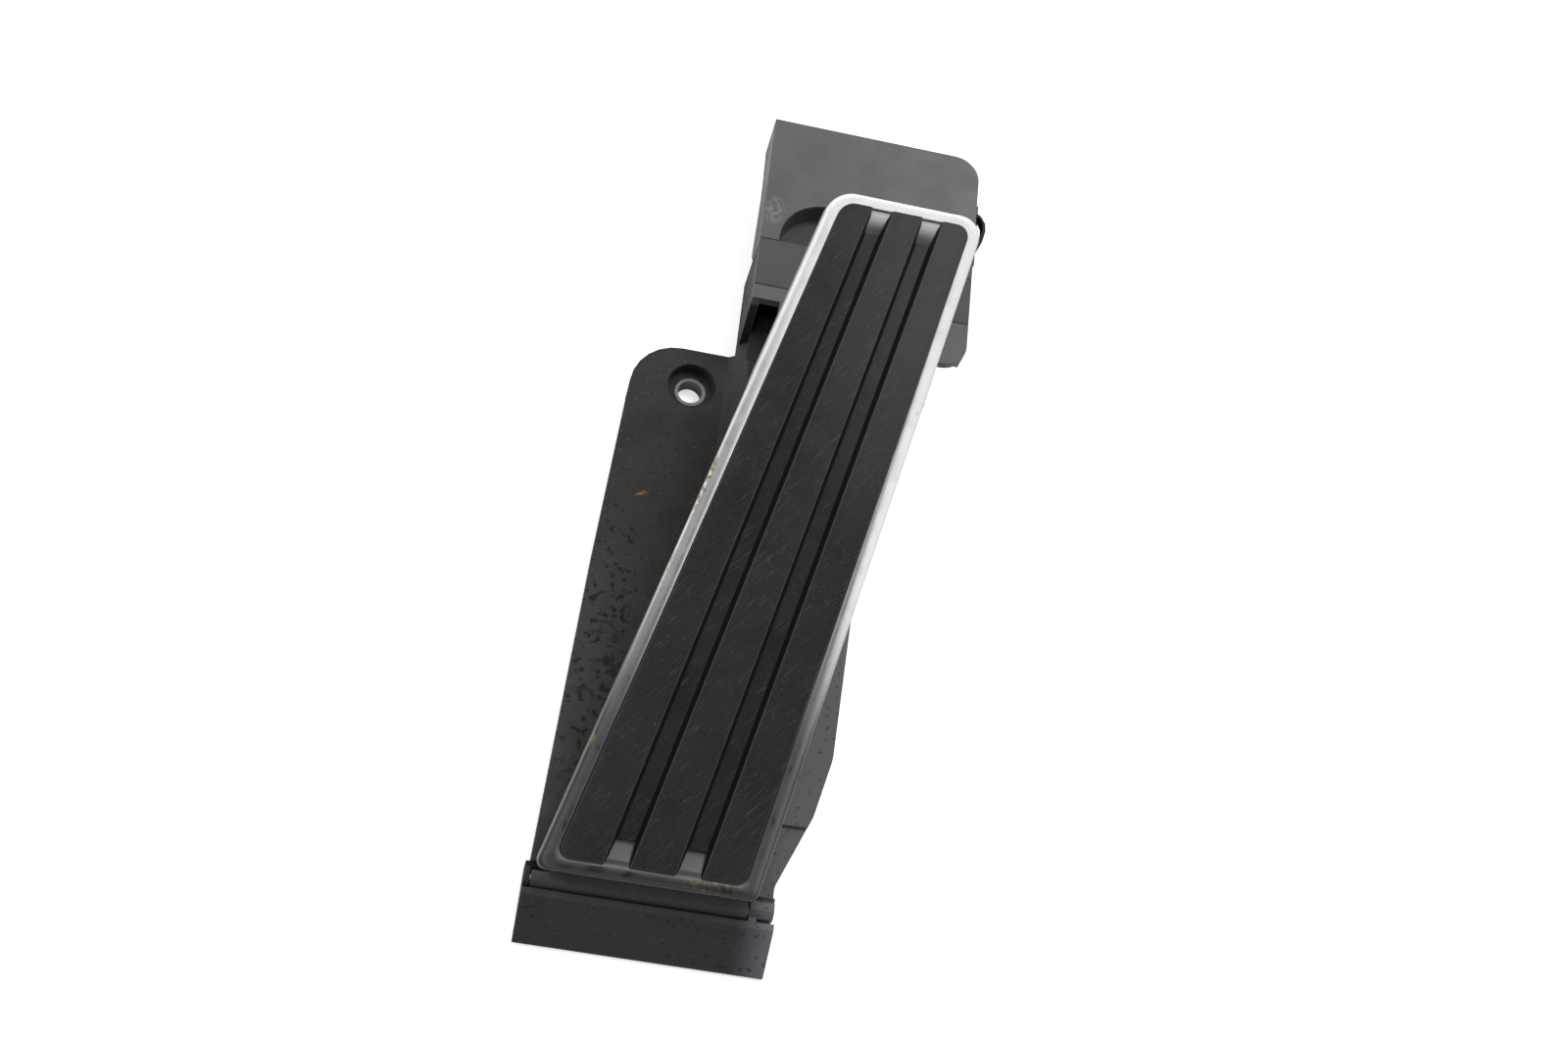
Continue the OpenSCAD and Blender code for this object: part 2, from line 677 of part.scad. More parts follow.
module latch_loop() color([0.08, 0.08, 0.08]) {
    translate([house_right, 0, window_top + 0.5])
        linear_extrude(3.6)
            difference() {
                translate([0, socket_y])
                    polygon([[0, 5.4], [2, 4.2], [3.5, 1.8], [3.7, -1], [2.9, -5], [0, -11]]);
                translate([0, socket_y])
                    polygon([[-1, 4.2], [1.7, 3.2], [2.6, 1.4], [2.7, -0.8], [2, -4.4], [-1, -10.2]]);
            }
}

module circuit_board() color([0.1, 0.3, 0.18]) {
    difference() {
        block(board_x, board_x + board_t, board_y0, board_y1, board_z0, board_z1);
        rod_x(shaft_r + 0.8, board_x - 1, board_x + board_t + 1, pivot_y, pivot_z);
    }
}

module sensor_coil() color([0.62, 0.4, 0.2]) {
    difference() {
        rod_x(6.4, board_x - 0.6, board_x, pivot_y, pivot_z);
        rod_x(shaft_r + 1, board_x - 1, board_x + 1, pivot_y, pivot_z);
    }
}

module hinge_pin() color([0.72, 0.72, 0.73]) {
    rod_x(pin_r, foot_left + 0.6, foot_right - 0.8, hinge_y, hinge_z);
}

module lever_shaft() color([0.72, 0.72, 0.73]) {
    difference() {
        rod_x(shaft_r, bearing_left - 0.8, shaft_end, pivot_y, pivot_z);
        // Groove of the clip
        difference() {
            rod_x(shaft_r + 1, shaft_end - 1.1, shaft_end - 0.4, pivot_y, pivot_z);
            rod_x(shaft_r - 0.5, shaft_end - 2, shaft_end, pivot_y, pivot_z);
        }
    }
}

module shaft_clip() color([0.5, 0.5, 0.52]) {
    difference() {
        rod_x(shaft_r + 1.6, shaft_end - 1, shaft_end - 0.5, pivot_y, pivot_z);
        rod_x(shaft_r - 0.45, shaft_end - 3, shaft_end + 1, pivot_y, pivot_z);
        block(shaft_end - 3, shaft_end + 1, pivot_y - 1.4, pivot_y + 1.4, pivot_z, pivot_z + 10);
    }
}

module spring_seat() color([0.7, 0.7, 0.7]) {
    post(shoe_r - 0.6, lever_x, nose_y, floor_t, seat_z);
    post(inner_spring_r - inner_wire_r - gap, lever_x, nose_y, seat_z - eps, seat_z + 2);
}

// A compression spring as a swept wire, with its last half turn flattened at both ends
module spring(r, wire_r, turns, z0, z1) {
    steps = ceil(turns * 14);
    sides = 6;
    low = z0 + wire_r;
    high = z1 - wire_r;
    function rise(t) = low + (high - low) * min(1, max(0, (t * turns - 0.5) / (turns - 1)));
    points = [for (i = [0 : steps]) let (a = 360 * turns * i / steps, z = rise(i / steps))
              for (j = [0 : sides - 1]) let (b = 360 * j / sides)
              [(r + wire_r * cos(b)) * cos(a), (r + wire_r * cos(b)) * sin(a), z + wire_r * sin(b)]];
    quads = [for (i = [0 : steps - 1]) for (j = [0 : sides - 1])
             [i * sides + j, i * sides + (j + 1) % sides,
              (i + 1) * sides + (j + 1) % sides, (i + 1) * sides + j]];
    start = [for (j = [sides - 1 : -1 : 0]) j];
    end = [for (j = [0 : sides - 1]) steps * sides + j];
    translate([lever_x, nose_y, 0])
        polyhedron(points, concat(quads, [start], [end]), convexity = 10);
}

module outer_spring() color([0.6, 0.6, 0.62]) {
    spring(outer_spring_r, outer_wire_r, outer_turns, seat_z, spring_top);
}

module inner_spring() color([0.6, 0.6, 0.62]) {
    spring(inner_spring_r, inner_wire_r, inner_turns, seat_z, spring_top);
}

// End stop under the pad, met by a boss of the pedal plate at full travel
end_x = 14;
end_y = -62;
end_r = 6;
end_base = 13;
end_top = 22.6;
end_v = 87.9;

module end_stop() color([0.12, 0.12, 0.12]) {
    translate([end_x, end_y, end_base])
        rotate_extrude()
            polygon([[0, 0], [end_r, 0], [end_r, 3], [end_r - 1, 5], [end_r - 1, end_top - end_base - 1],
                     [end_r - 2, end_top - end_base], [0, end_top - end_base]]);
}

// Rubber block under the lever's heel
module rest_bumper() color([0.12, 0.12, 0.12]) {
    block(lever_x - 4, lever_x + 4, pivot_y - 1, pivot_y + 6, floor_t, pivot_z - hub_r - 3.4);
}

module pedal_pockets() {
    inner = inset(pad_pts, 3.6);
    difference() {
        polygon(inner);
        // Cross ribs
        for (i = [1 : 8])
            translate([-40, i * pad_len / 9 - rib_t / 2])
                square([140, rib_t]);
        // Two long ribs that follow the lean
        for (s = [1 / 3, 2 / 3]) {
            x0 = pad_left + pad_w_foot * s;
            x1 = pad_left + pad_lean + pad_w_top * s;
            polygon([[x0 - rib_t / 2, -5], [x0 + rib_t / 2, -5],
                     [x1 + rib_t / 2, pad_len + 5], [x1 - rib_t / 2, pad_len + 5]]);
        }
        translate([-40, -10])
            square([120, 16]);
    }
}

// Where the tip's pin lies in the pad's frame after a given pedal travel
function tip_at(a) =
    let (lift = tip_rise - lever_ratio * a,
         p = [pivot_y - tip_reach * cos(lift), pivot_z + tip_reach * sin(lift)],
         q = spin(p, [hinge_y, hinge_z], a) - [pad_y, pad_z])
    [q[0] * cos(pad_slope) + q[1] * sin(pad_slope), -q[0] * sin(pad_slope) + q[1] * cos(pad_slope)];
track_steps = 8;
track = [for (i = [0 : track_steps]) tip_at(pedal_travel * i / track_steps)];
track_top = track[0];
track_foot = track[track_steps];
track_r = roller_r + 0.35;
function track_side(i, d) =
    let (u = unit(track[max(i - 1, 0)], track[min(i + 1, track_steps)]))
    track[i] + d * [-u[1], u[0]];
function round_end(c, d) = [for (k = [1 : 7]) c + track_r * [cos(d + 90 - 22.5 * k), sin(d + 90 - 22.5 * k)]];
// Outline of the slot around the track, with round ends
slot_pts =
    let (u = unit(track[1], track_top), v = unit(track[track_steps - 1], track_foot))
    concat([for (i = [0 : track_steps]) track_side(i, track_r)], round_end(track_foot, atan2(v[1], v[0])),
           [for (i = [track_steps : -1 : 0]) track_side(i, -track_r)], round_end(track_top, atan2(u[1], u[0])));
ear_r = track_r + 2.6;
plate_top = -dish_depth - tray_t - 0.1;
plate_z = plate_top - plate_t;

// An ear carries the curved track for one roller
module ear(x0) {
    along_x(x0, x0 + ear_t)
        difference() {
            union() {
                translate(track_top)
                    circle(r = ear_r);
                translate(track_foot)
                    circle(r = ear_r);
                polygon([track_foot - [ear_r, 0], track_foot - [0, ear_r], track_top - [0, ear_r],
                         track_top + [ear_r, 0], [track_top[0] + ear_r + 1, plate_z + 1],
                         [track_foot[0] - ear_r - 1, plate_z + 1]]);
            }
            polygon(slot_pts);
        }
}

module pedal_body() color([0.1, 0.1, 0.1]) {
    on_pad()
        difference() {
            union() {
                difference() {
                    flat_pad(tray_t + gap, -body_depth, plate_top);
                    translate([0, 0, -body_depth - 1])
                        linear_extrude(plate_z + body_depth + 1)
                            pedal_pockets();
                    // Clearance of the pad's foot over the carrier
                    along_x(-40, 80)
                        polygon([[-1, -body_depth - 1], [9, -body_depth - 1], [4, plate_z], [-1, plate_z]]);
                }
                ear(lever_x - ear_gap - ear_t);
                ear(lever_x + ear_gap);
                for (p = stud_places)
                    post(3.4, p[0], p[1], -body_depth, plate_z + 1);
                post(end_r, end_x, end_v, -body_depth, plate_z + 1);
            }
            for (p = stud_places)
                post(1.5 + fit, p[0], p[1], -body_depth - 1, plate_top + 1);
            // Slot for the lever between the ears
            block(lever_x - ear_gap, lever_x + ear_gap, track_foot[0] - ear_r - 4, track_top[0] + ear_r + 4,
                  -body_depth - 1, plate_z + eps);
        }
    // Neck down to the hinge barrel
    difference() {
        union() {
            rod_x(barrel_r, foot_left + left_lug_w + gap, foot_right - lug_w - gap, hinge_y, hinge_z);
            along_x(pad_left + 4.8, foot_right - lug_w - gap - 0.2)
                polygon([[hinge_y - 0.6, hinge_z + 2.2], [hinge_y + 2.1, hinge_z + 0.9], [pad_y + 10.9, pad_z - 3],
                         [pad_y + 10.2, pad_z - 1.4], [pad_y + 4, pad_z - 3.9], [pad_y + 4.1, pad_z - 5.9]]);
        }
        rod_x(pin_r + bush_t + 0.04, -60, 60, hinge_y, hinge_z);
    }
}

// Bushes inside both ends of the barrel
bush_t = 0.46;
module hinge_bushes() color([0.75, 0.73, 0.68]) {
    difference() {
        union() {
            rod_x(pin_r + bush_t, foot_left + left_lug_w + gap, foot_left + left_lug_w + 12, hinge_y, hinge_z);
            rod_x(pin_r + bush_t, foot_right - lug_w - 12, foot_right - lug_w - gap, hinge_y, hinge_z);
        }
        rod_x(pin_r + fit, -60, 60, hinge_y, hinge_z);
    }
}

module trim_tray() color([0.8, 0.8, 0.8]) {
    d = dish_depth;
    t = tray_t;
    on_pad()
        difference() {
            loft_pad([[12, -d], [11, -d + 0.14], [8.5, -0.72 * d], [6, -0.42 * d], [4.2, -0.18 * d], [3, -0.15],
                      [2.3, 0], [1.4, -0.04], [0.7, -0.35], [0.2, -1], [0, -1.9], [0, -lip_depth], [t, -lip_depth],
                      [t, -2.1], [t + 0.3, -1.4], [2.4, -t], [3.2, -t - 0.3], [5.8, -0.42 * d - t],
                      [8.3, -0.72 * d - t], [10.9, -d - t + 0.14], [11.7, -d - t]], 6);
            for (p = stud_places)
                post(1.6, p[0], p[1], -d - t - 1, -d + 1);
        }
}

// Studs that hold the tread and tray to the pedal plate
function mid_x(v) = pad_left + pad_w_foot / 2 + v * (pad_lean + (pad_w_top - pad_w_foot) / 2) / pad_len;
stud_places = [for (i = [0 : 2]) for (s = [-1, 1])
               let (v = 22 + i * (pad_len - 40) / 2) [mid_x(v) + s * (14.5 - 3 * i), v]];

module tray_studs() color([0.12, 0.12, 0.12]) {
    on_pad()
        for (p = stud_places) {
            post(1.5, p[0], p[1], -body_depth - 0.8, -dish_depth + 0.05);
            post(2.6, p[0], p[1], -body_depth - 1.6, -body_depth - 0.1);
        }
}

// Grooves of the tread, which narrow and lean with the pad
tread_top = 0.6;
groove_foot_x = [pad_left + 16.3, pad_left + 35.2];
groove_top_x = [pad_left + pad_lean + 11.1, pad_left + pad_lean + 24.7];
function groove_x(i, v) = groove_foot_x[i] + (groove_top_x[i] - groove_foot_x[i]) * v / pad_len;
function groove_w(v) = groove_w_foot + (groove_w_top - groove_w_foot) * v / pad_len;
// A length of groove, narrower by e0 and e1 on each side at its ends
module groove(i, v0, v1, e0, e1) {
    polygon([[groove_x(i, v0) + e0, v0], [groove_x(i, v0) + groove_w(v0) - e0, v0],
             [groove_x(i, v1) + groove_w(v1) - e1, v1], [groove_x(i, v1) + e1, v1]]);
}

module tread_rubber() color([0.2, 0.2, 0.21]) {
    d = dish_depth;
    window = 6.7;
    on_pad()
        difference() {
            // Stepped in below, as the tray's floor falls away from the rim
            union() {
                flat_tread(8.9, -d + 0.05, -d + 0.6);
                flat_tread(6.7, -d + 0.6, -0.62 * d);
                flat_tread(4.8, -0.62 * d, -0.42 * d);
                flat_tread(3.3, -0.42 * d, -0.22 * d);
                flat_tread(1.6, -0.22 * d, 0);
                flat_tread(0, 0, tread_top - 0.3);
                flat_tread(0.4, tread_top - 0.3, tread_top);
            }
            for (i = [0, 1]) {
                translate([0, 0, tread_top - groove_depth])
                    linear_extrude(3)
                        groove(i, 2, pad_len - 2, 0, 0);
                // Open ends that show the tray
                translate([0, 0, -d - 1])
                    linear_extrude(5)
                        groove(i, -2, rim_end_foot + window, 0.2, 0.9);
                translate([0, 0, -d - 1])
                    linear_extrude(5)
                        groove(i, pad_len - rim_end_top - window, pad_len + 2, 0.9, 0.2);
            }
        }
}

module drive_lever() color([0.78, 0.76, 0.7]) {
    up = [-cos(tip_rise), sin(tip_rise)];
    side = [sin(tip_rise), cos(tip_rise)];
    pivot = [pivot_y, pivot_z];
    tip = [tip_y, tip_z];
    difference() {
        union() {
            rod_x(hub_r, lever_x - hub_w / 2, lever_x + hub_w / 2, pivot_y, pivot_z);
            rod_x(tip_arm_r, lever_x - arm_w / 2, lever_x + arm_w / 2, tip_y, tip_z);
            along_x(lever_x - arm_w / 2, lever_x + arm_w / 2)
                polygon([pivot + (hub_r - 0.5) * side, pivot - arm_heel * side,
                         tip - (tip_arm_r - 0.1) * side, tip + (tip_arm_r - 0.1) * side]);
            // Nose that presses the shoe
            rod_x(nose_r, lever_x - arm_w / 2, lever_x + arm_w / 2, nose_y, nose_z);
            along_x(lever_x - arm_w / 2, lever_x + arm_w / 2)
                polygon([[nose_y - nose_r, nose_z], [nose_y, nose_z - 0.9], pivot, [nose_y, nose_z + 5]]);
            // Heel that rests on the bumper
            along_x(lever_x - 4, lever_x + 4)
                polygon([[pivot_y + 0.5, pivot_z - 4], [pivot_y + 0.5, pivot_z - hub_r - 3.1],
                         [pivot_y + 4, pivot_z - hub_r - 3.1], [pivot_y + 6, pivot_z - 3]]);
        }
        // Lightening recesses on both sides of the arm
        for (x = [lever_x - arm_w / 2 - 1, lever_x + 1])
            along_x(x, x + arm_w / 2)
                polygon([pivot + 16 * up + 3.4 * side, pivot + 16 * up - 1.4 * side,
                         tip - 7 * up - 2.4 * side, tip - 7 * up + 2.6 * side]);
        rod_x(shaft_r + 1.2 + fit, lever_x - 20, lever_x + 20, pivot_y, pivot_z);
        rod_x(tip_pin_r + fit, lever_x - 20, lever_x + 20, tip_y, tip_z);
    }
}

module lever_bushes() color([0.25, 0.25, 0.25]) {
    difference() {
        union() {
            rod_x(shaft_r + 1.2, lever_x - hub_w / 2 - 0.3, lever_x - 1, pivot_y, pivot_z);
            rod_x(shaft_r + 1.2, lever_x + 1, lever_x + hub_w / 2 + 0.3, pivot_y, pivot_z);
        }
        rod_x(shaft_r + fit, lever_x - 20, lever_x + 20, pivot_y, pivot_z);
    }
}

module tip_pin() color([0.72, 0.72, 0.73]) {
    rod_x(tip_pin_r, lever_x - ear_gap - ear_t - 0.4, lever_x + ear_gap + ear_t + 0.4, tip_y, tip_z);
}

module tip_rollers() color([0.85, 0.85, 0.8]) {
    for (x = [lever_x - ear_gap - ear_t, lever_x + ear_gap])
        difference() {
            rod_x(roller_r, x + 0.1, x + ear_t, tip_y, tip_z);
            rod_x(tip_pin_r + fit, x - 1, x + ear_t + 1, tip_y, tip_z);
        }
}

module sensor_target() color([0.7, 0.5, 0.3]) {
    x0 = lever_x + hub_w / 2 + 0.3;
    difference() {
        rod_x(hub_r - 0.4, x0, x0 + target_t, pivot_y, pivot_z);
        rod_x(shaft_r + 1.6, x0 - 1, x0 + 5, pivot_y, pivot_z);
    }
}

module friction_shoe() color([0.82, 0.8, 0.74]) {
    difference() {
        post(shoe_r, lever_x, nose_y, shoe_top - shoe_skirt, shoe_top);
        post(shoe_r - shoe_wall, lever_x, nose_y, shoe_top - shoe_skirt - 1, shoe_top - shoe_cap);
    }
}

base_carrier();
flank_sleeve();
housing_sleeve();
sensor_housing();
housing_lid();
bridge_cover();
connector_socket();
connector_terminals();
latch_loop();
circuit_board();
sensor_coil();
hinge_pin();
lever_shaft();
shaft_clip();
spring_seat();
outer_spring();
inner_spring();
end_stop();
rest_bumper();
cover_screws();
lid_screws();
pedal_body();
hinge_bushes();
trim_tray();
tread_rubber();
tray_studs();
drive_lever();
lever_bushes();
tip_pin();
tip_rollers();
sensor_target();
friction_shoe();
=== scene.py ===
# A floor-hinged accelerator pedal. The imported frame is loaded, lit and dressed, from base to tread.
import math
import bpy
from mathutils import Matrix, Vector


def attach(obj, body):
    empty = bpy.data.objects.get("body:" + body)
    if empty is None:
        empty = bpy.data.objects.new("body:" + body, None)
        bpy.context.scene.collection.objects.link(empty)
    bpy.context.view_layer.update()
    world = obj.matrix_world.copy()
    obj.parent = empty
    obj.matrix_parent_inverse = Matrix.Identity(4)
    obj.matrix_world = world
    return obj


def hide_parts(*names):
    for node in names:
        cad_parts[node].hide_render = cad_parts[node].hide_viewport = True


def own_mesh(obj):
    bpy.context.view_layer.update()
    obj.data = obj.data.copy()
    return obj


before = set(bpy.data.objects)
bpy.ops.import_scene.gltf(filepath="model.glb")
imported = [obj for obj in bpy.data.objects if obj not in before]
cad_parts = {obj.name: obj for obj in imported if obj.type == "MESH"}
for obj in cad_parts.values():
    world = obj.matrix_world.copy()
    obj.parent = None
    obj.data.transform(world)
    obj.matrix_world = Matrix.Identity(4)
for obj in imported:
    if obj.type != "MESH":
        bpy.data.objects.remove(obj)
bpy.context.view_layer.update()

# Camera, floor and light. The camera looks down on the pedal from above its foot, a little from
# the left, on a plain white floor under two soft studio lamps. The polished rim mirrors a white
# room, whose wall at the foot is dark and on the left there grey.
camera_place = (-0.03879, -0.28122, 0.49837)
camera_turn = (25.143, -11.097, 6.091)
film_width = 36
picture_width, focal_length = 1600, 1957
lamps_aim = Vector((0.015, -0.04, 0.03))
white = (1, 1, 1, 1)
room_light, dark_wall, grey_wall, white_wall = 0.4, 0.04, 0.36, 1
paper_white = (0.86, 0.86, 0.86)
paper_glow = 0.6
floor_size, floor_height = 8, -0.0002

bpy.ops.object.select_all(action="DESELECT")
bpy.ops.object.camera_add(location=camera_place, rotation=[math.radians(a) for a in camera_turn])
camera = bpy.context.object
camera.data.sensor_width = film_width
camera.data.lens = film_width * focal_length / picture_width
camera.data.clip_start = 0.01
bpy.context.scene.camera = camera
bpy.context.scene.view_settings.view_transform = "Standard"


def lamp(name, at, size, power):
    """A square soft lamp that faces the middle of the pedal and isn't mirrored in it."""
    bpy.ops.object.light_add(type="AREA", location=at)
    light = bpy.context.object
    light.name = name
    light.data.size = size
    light.data.energy = power
    light.visible_glossy = False
    light.rotation_euler = (lamps_aim - Vector(at)).to_track_quat("-Z", "Y").to_euler()


def join(owner, kind, *inputs):
    """A new node of a finish or of the room, with values or links for its first inputs."""
    node = owner.node_tree.nodes.new(kind)
    for socket, value in zip(node.inputs, inputs):
        if isinstance(value, bpy.types.NodeSocket):
            owner.node_tree.links.new(value, socket)
        elif value is not None:
            socket.default_value = value
    return node


def both(owner, first, second, operation="MULTIPLY"):
    """Two masks made one: their product, or with MAXIMUM the stronger of the two."""
    node = join(owner, "ShaderNodeMath", first, second)
    node.operation = operation
    return node.outputs[0]


def level(owner, value, low, high, bottom=0.0, top=1.0):
    """A soft step, from bottom where a value is at low to top where it is at high."""
    node = join(owner, "ShaderNodeMapRange", value, low, high, bottom, top)
    node.interpolation_type = "SMOOTHSTEP"
    return node.outputs[0]


def coloured(name, colour, rough, metal=0.0, shine=0.5):
    """A new finish in one colour, before its grain, dust and wear are laid on."""
    finish = bpy.data.materials.new(name)
    finish.use_nodes = True
    shader = finish.node_tree.nodes["Principled BSDF"]
    shader.inputs["Base Color"].default_value = (*colour, 1)
    shader.inputs["Roughness"].default_value = rough
    shader.inputs["Metallic"].default_value = metal
    shader.inputs["Specular IOR Level"].default_value = shine
    return finish


lamp("key_lamp", at=(0.34, 0.38, 1.0), size=0.5, power=8.5)
lamp("side_lamp", at=(-0.9, 0.25, 0.5), size=0.6, power=5.5)

room = bpy.data.worlds.new("studio")
bpy.context.scene.world = room
room.use_nodes = True
background = room.node_tree.nodes["Background"]
background.inputs["Color"].default_value = white
ray = join(room, "ShaderNodeLightPath").outputs
looking = join(room, "ShaderNodeTexCoord").outputs["Generated"]
towards = join(room, "ShaderNodeSeparateXYZ", looking).outputs
to_back = join(room, "ShaderNodeMath", towards["X"], 0.5, towards["Y"])
to_back.operation = "MULTIPLY_ADD"
back_wall = level(room, to_back.outputs[0], -0.31, -0.16, dark_wall, white_wall)
left_wall = level(room, towards["X"], 0.05, -0.2, 0, grey_wall)
walls = both(room, back_wall, left_wall, "MAXIMUM")
mirrored = join(room, "ShaderNodeMix", ray["Is Glossy Ray"], None, room_light, walls)
seen_directly = both(room, ray["Is Camera Ray"], ray["Is Transmission Ray"], "MAXIMUM")
seen = join(room, "ShaderNodeMix", seen_directly, None, mirrored.outputs[0], white_wall)
room.node_tree.links.new(seen.outputs[0], background.inputs["Strength"])

bpy.ops.mesh.primitive_plane_add(size=floor_size, location=(0, 0, floor_height))
floor = bpy.context.object
floor.name = "floor"
paper = coloured("floor_paper", paper_white, rough=0.9)
surface = paper.node_tree.nodes["Principled BSDF"]
surface.inputs["Emission Color"].default_value = white
to_camera = join(paper, "ShaderNodeLightPath").outputs["Is Camera Ray"]
paper.node_tree.links.new(both(paper, to_camera, paper_glow), surface.inputs["Emission Strength"])
floor.data.materials.append(paper)

# Base carrier. One large moulding in black glass-filled nylon, with the ramp of the foot, the
# flank, the raised middle and the front of the housing. It lies on the floor of the car, so
# dust, scrapes and dark spots have gathered on its left flank.
mm = 0.001
across, along, up = 0, 1, 2
same_point = 0.004
flat_angle = 0.6


def place(finish, size, at, turn=(0, 0, 0)):
    """The part's own coordinates, centred at a place in millimetres, in units of size millimetres."""
    node = join(finish, "ShaderNodeMapping", join(finish, "ShaderNodeTexCoord").outputs["Object"],
                [mm * a for a in at], [math.radians(a) for a in turn], [mm * a for a in size])
    node.vector_type = "TEXTURE"
    return node.outputs[0]


def spots(finish, size, low, high, at=(0, 0, 0), turn=(0, 0, 0), detail=3):
    """A cloudy pattern with spots of about the given size in millimetres."""
    size = size if isinstance(size, tuple) else (size, size, size)
    noise = join(finish, "ShaderNodeTexNoise", place(finish, size, at, turn))
    noise.inputs["Scale"].default_value = 1
    noise.inputs["Detail"].default_value = detail
    return level(finish, noise.outputs[0], low, high)


def patch(finish, at, size, turn=(0, 0, 0), soft=0.6):
    """1 in the middle of a round or long patch, fading to 0 at its edge."""
    reach = join(finish, "ShaderNodeVectorMath", place(finish, size, at, turn))
    reach.operation = "LENGTH"
    return level(finish, reach.outputs["Value"], 1, 1 - soft)


def distance(finish, axis, at=(0, 0, 0), turn=(0, 0, 0)):
    """Millimetres along one axis of the part, or of a frame that is set in it and turned."""
    return join(finish, "ShaderNodeSeparateXYZ", place(finish, (1, 1, 1), at, turn)).outputs[axis]


def beyond(finish, axis, low, high):
    """0 at low and 1 at high, in millimetres along one axis of the part."""
    return level(finish, distance(finish, axis), low, high)


def lay(finish, colour, mask, share=1.0):
    """Lays a colour over what a finish has so far, where the mask is."""
    socket = finish.node_tree.nodes["Principled BSDF"].inputs["Base Color"]
    node = join(finish, "ShaderNodeMix", both(finish, mask, share))
    node.data_type = "RGBA"
    under, over = node.inputs[6], node.inputs[7]
    if socket.is_linked:
        finish.node_tree.links.new(socket.links[0].from_socket, under)
    else:
        under.default_value = socket.default_value
    over.default_value = (*colour, 1)
    finish.node_tree.links.new(node.outputs[2], socket)


def dull(finish, amount, mask, side="Roughness"):
    """Changes the roughness of a finish, or how metallic it is, where the mask is."""
    socket = finish.node_tree.nodes["Principled BSDF"].inputs[side]
    start = socket.links[0].from_socket if socket.is_linked else socket.default_value
    node = join(finish, "ShaderNodeMix", mask, None, start, amount)
    finish.node_tree.links.new(node.outputs[0], socket)


def relief(finish, height, depth):
    """A fine relief, depth millimetres deep."""
    socket = finish.node_tree.nodes["Principled BSDF"].inputs["Normal"]
    bump = join(finish, "ShaderNodeBump")
    bump.inputs["Distance"].default_value = mm * depth
    finish.node_tree.links.new(height, bump.inputs["Height"])
    if socket.is_linked:
        finish.node_tree.links.new(socket.links[0].from_socket, bump.inputs["Normal"])
    finish.node_tree.links.new(bump.outputs[0], socket)


def grain(finish, size, depth, detail=2):
    """The fine grain of a moulded face, its size and depth in millimetres."""
    relief(finish, spots(finish, size, 0.3, 0.7, detail=detail), depth)


def dress(material, *nodes):
    """Gives a finish to CAD nodes."""
    for node in nodes:
        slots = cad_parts[node].data.materials
        slots.clear()
        slots.append(material)


def take(piece):
    """Makes a piece the active one and the only one that is selected."""
    bpy.ops.object.select_all(action="DESELECT")
    piece.select_set(True)
    bpy.context.view_layer.objects.active = piece


def cut(piece, cutter):
    """Cuts one shape out of another and clears the cutter away."""
    take(piece)
    hollow = piece.modifiers.new("hollow", "BOOLEAN")
    hollow.object = cutter
    hollow.operation = "DIFFERENCE"
    hollow.solver = "EXACT"
    bpy.ops.object.modifier_apply(modifier=hollow.name)
    bpy.data.objects.remove(cutter)


def soften(piece, radius, steps=2, angle=34, smooth=20):
    """Rounds the sharp edges of a finished shape and shades its curves smooth."""
    take(piece)
    edge = piece.modifiers.new("edge", "BEVEL")
    edge.width = mm * radius
    edge.segments = steps
    edge.limit_method = "ANGLE"
    edge.angle_limit = math.radians(angle)
    edge.use_clamp_overlap = False
    bpy.ops.object.modifier_apply(modifier=edge.name)
    bpy.ops.object.shade_smooth_by_angle(angle=math.radians(smooth))


def eased(node, name, body, material, radius, trims=()):
    """A moulding in its node's shape, cut by the trims, with a real mould's small edge radius."""
    piece = bpy.data.objects.new(name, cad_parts[node].data.copy())
    bpy.context.scene.collection.objects.link(piece)
    take(piece)
    bpy.ops.object.mode_set(mode="EDIT")
    bpy.ops.mesh.select_all(action="SELECT")
    bpy.ops.mesh.remove_doubles(threshold=mm * same_point)
    bpy.ops.object.mode_set(mode="OBJECT")
    for trim in trims:
        cut(piece, trim)
    bpy.ops.object.mode_set(mode="EDIT")
    bpy.ops.mesh.select_all(action="SELECT")
    bpy.ops.mesh.dissolve_limited(angle_limit=math.radians(flat_angle))
    bpy.ops.object.mode_set(mode="OBJECT")
    soften(piece, radius)
    piece.data.materials.clear()
    piece.data.materials.append(material)
    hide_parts(node)
    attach(piece, body)


# The dust lies in clouds and thins out towards the back. The dark spots and the damp pools lie
# within two long patches on the left flank, with a short rusty scratch near their back end.
nylon_black = (0.031, 0.0295, 0.028)
nylon_shade = (0.016, 0.0155, 0.015)
road_dust = (0.085, 0.08, 0.074)
foot_black = (0.034, 0.034, 0.038)
right_wing_painted_light = (0.19, 0.197, 0.22)
pale_specks = (0.16, 0.15, 0.14)
flank_dust = (0.062, 0.06, 0.057)
spot_black = (0.005, 0.005, 0.005)
pool_black = (0.008, 0.008, 0.008)
pit_black = (0.01, 0.01, 0.01)
rust = (0.42, 0.17, 0.06)
tops_painted_sheen = (0.105, 0.106, 0.111)

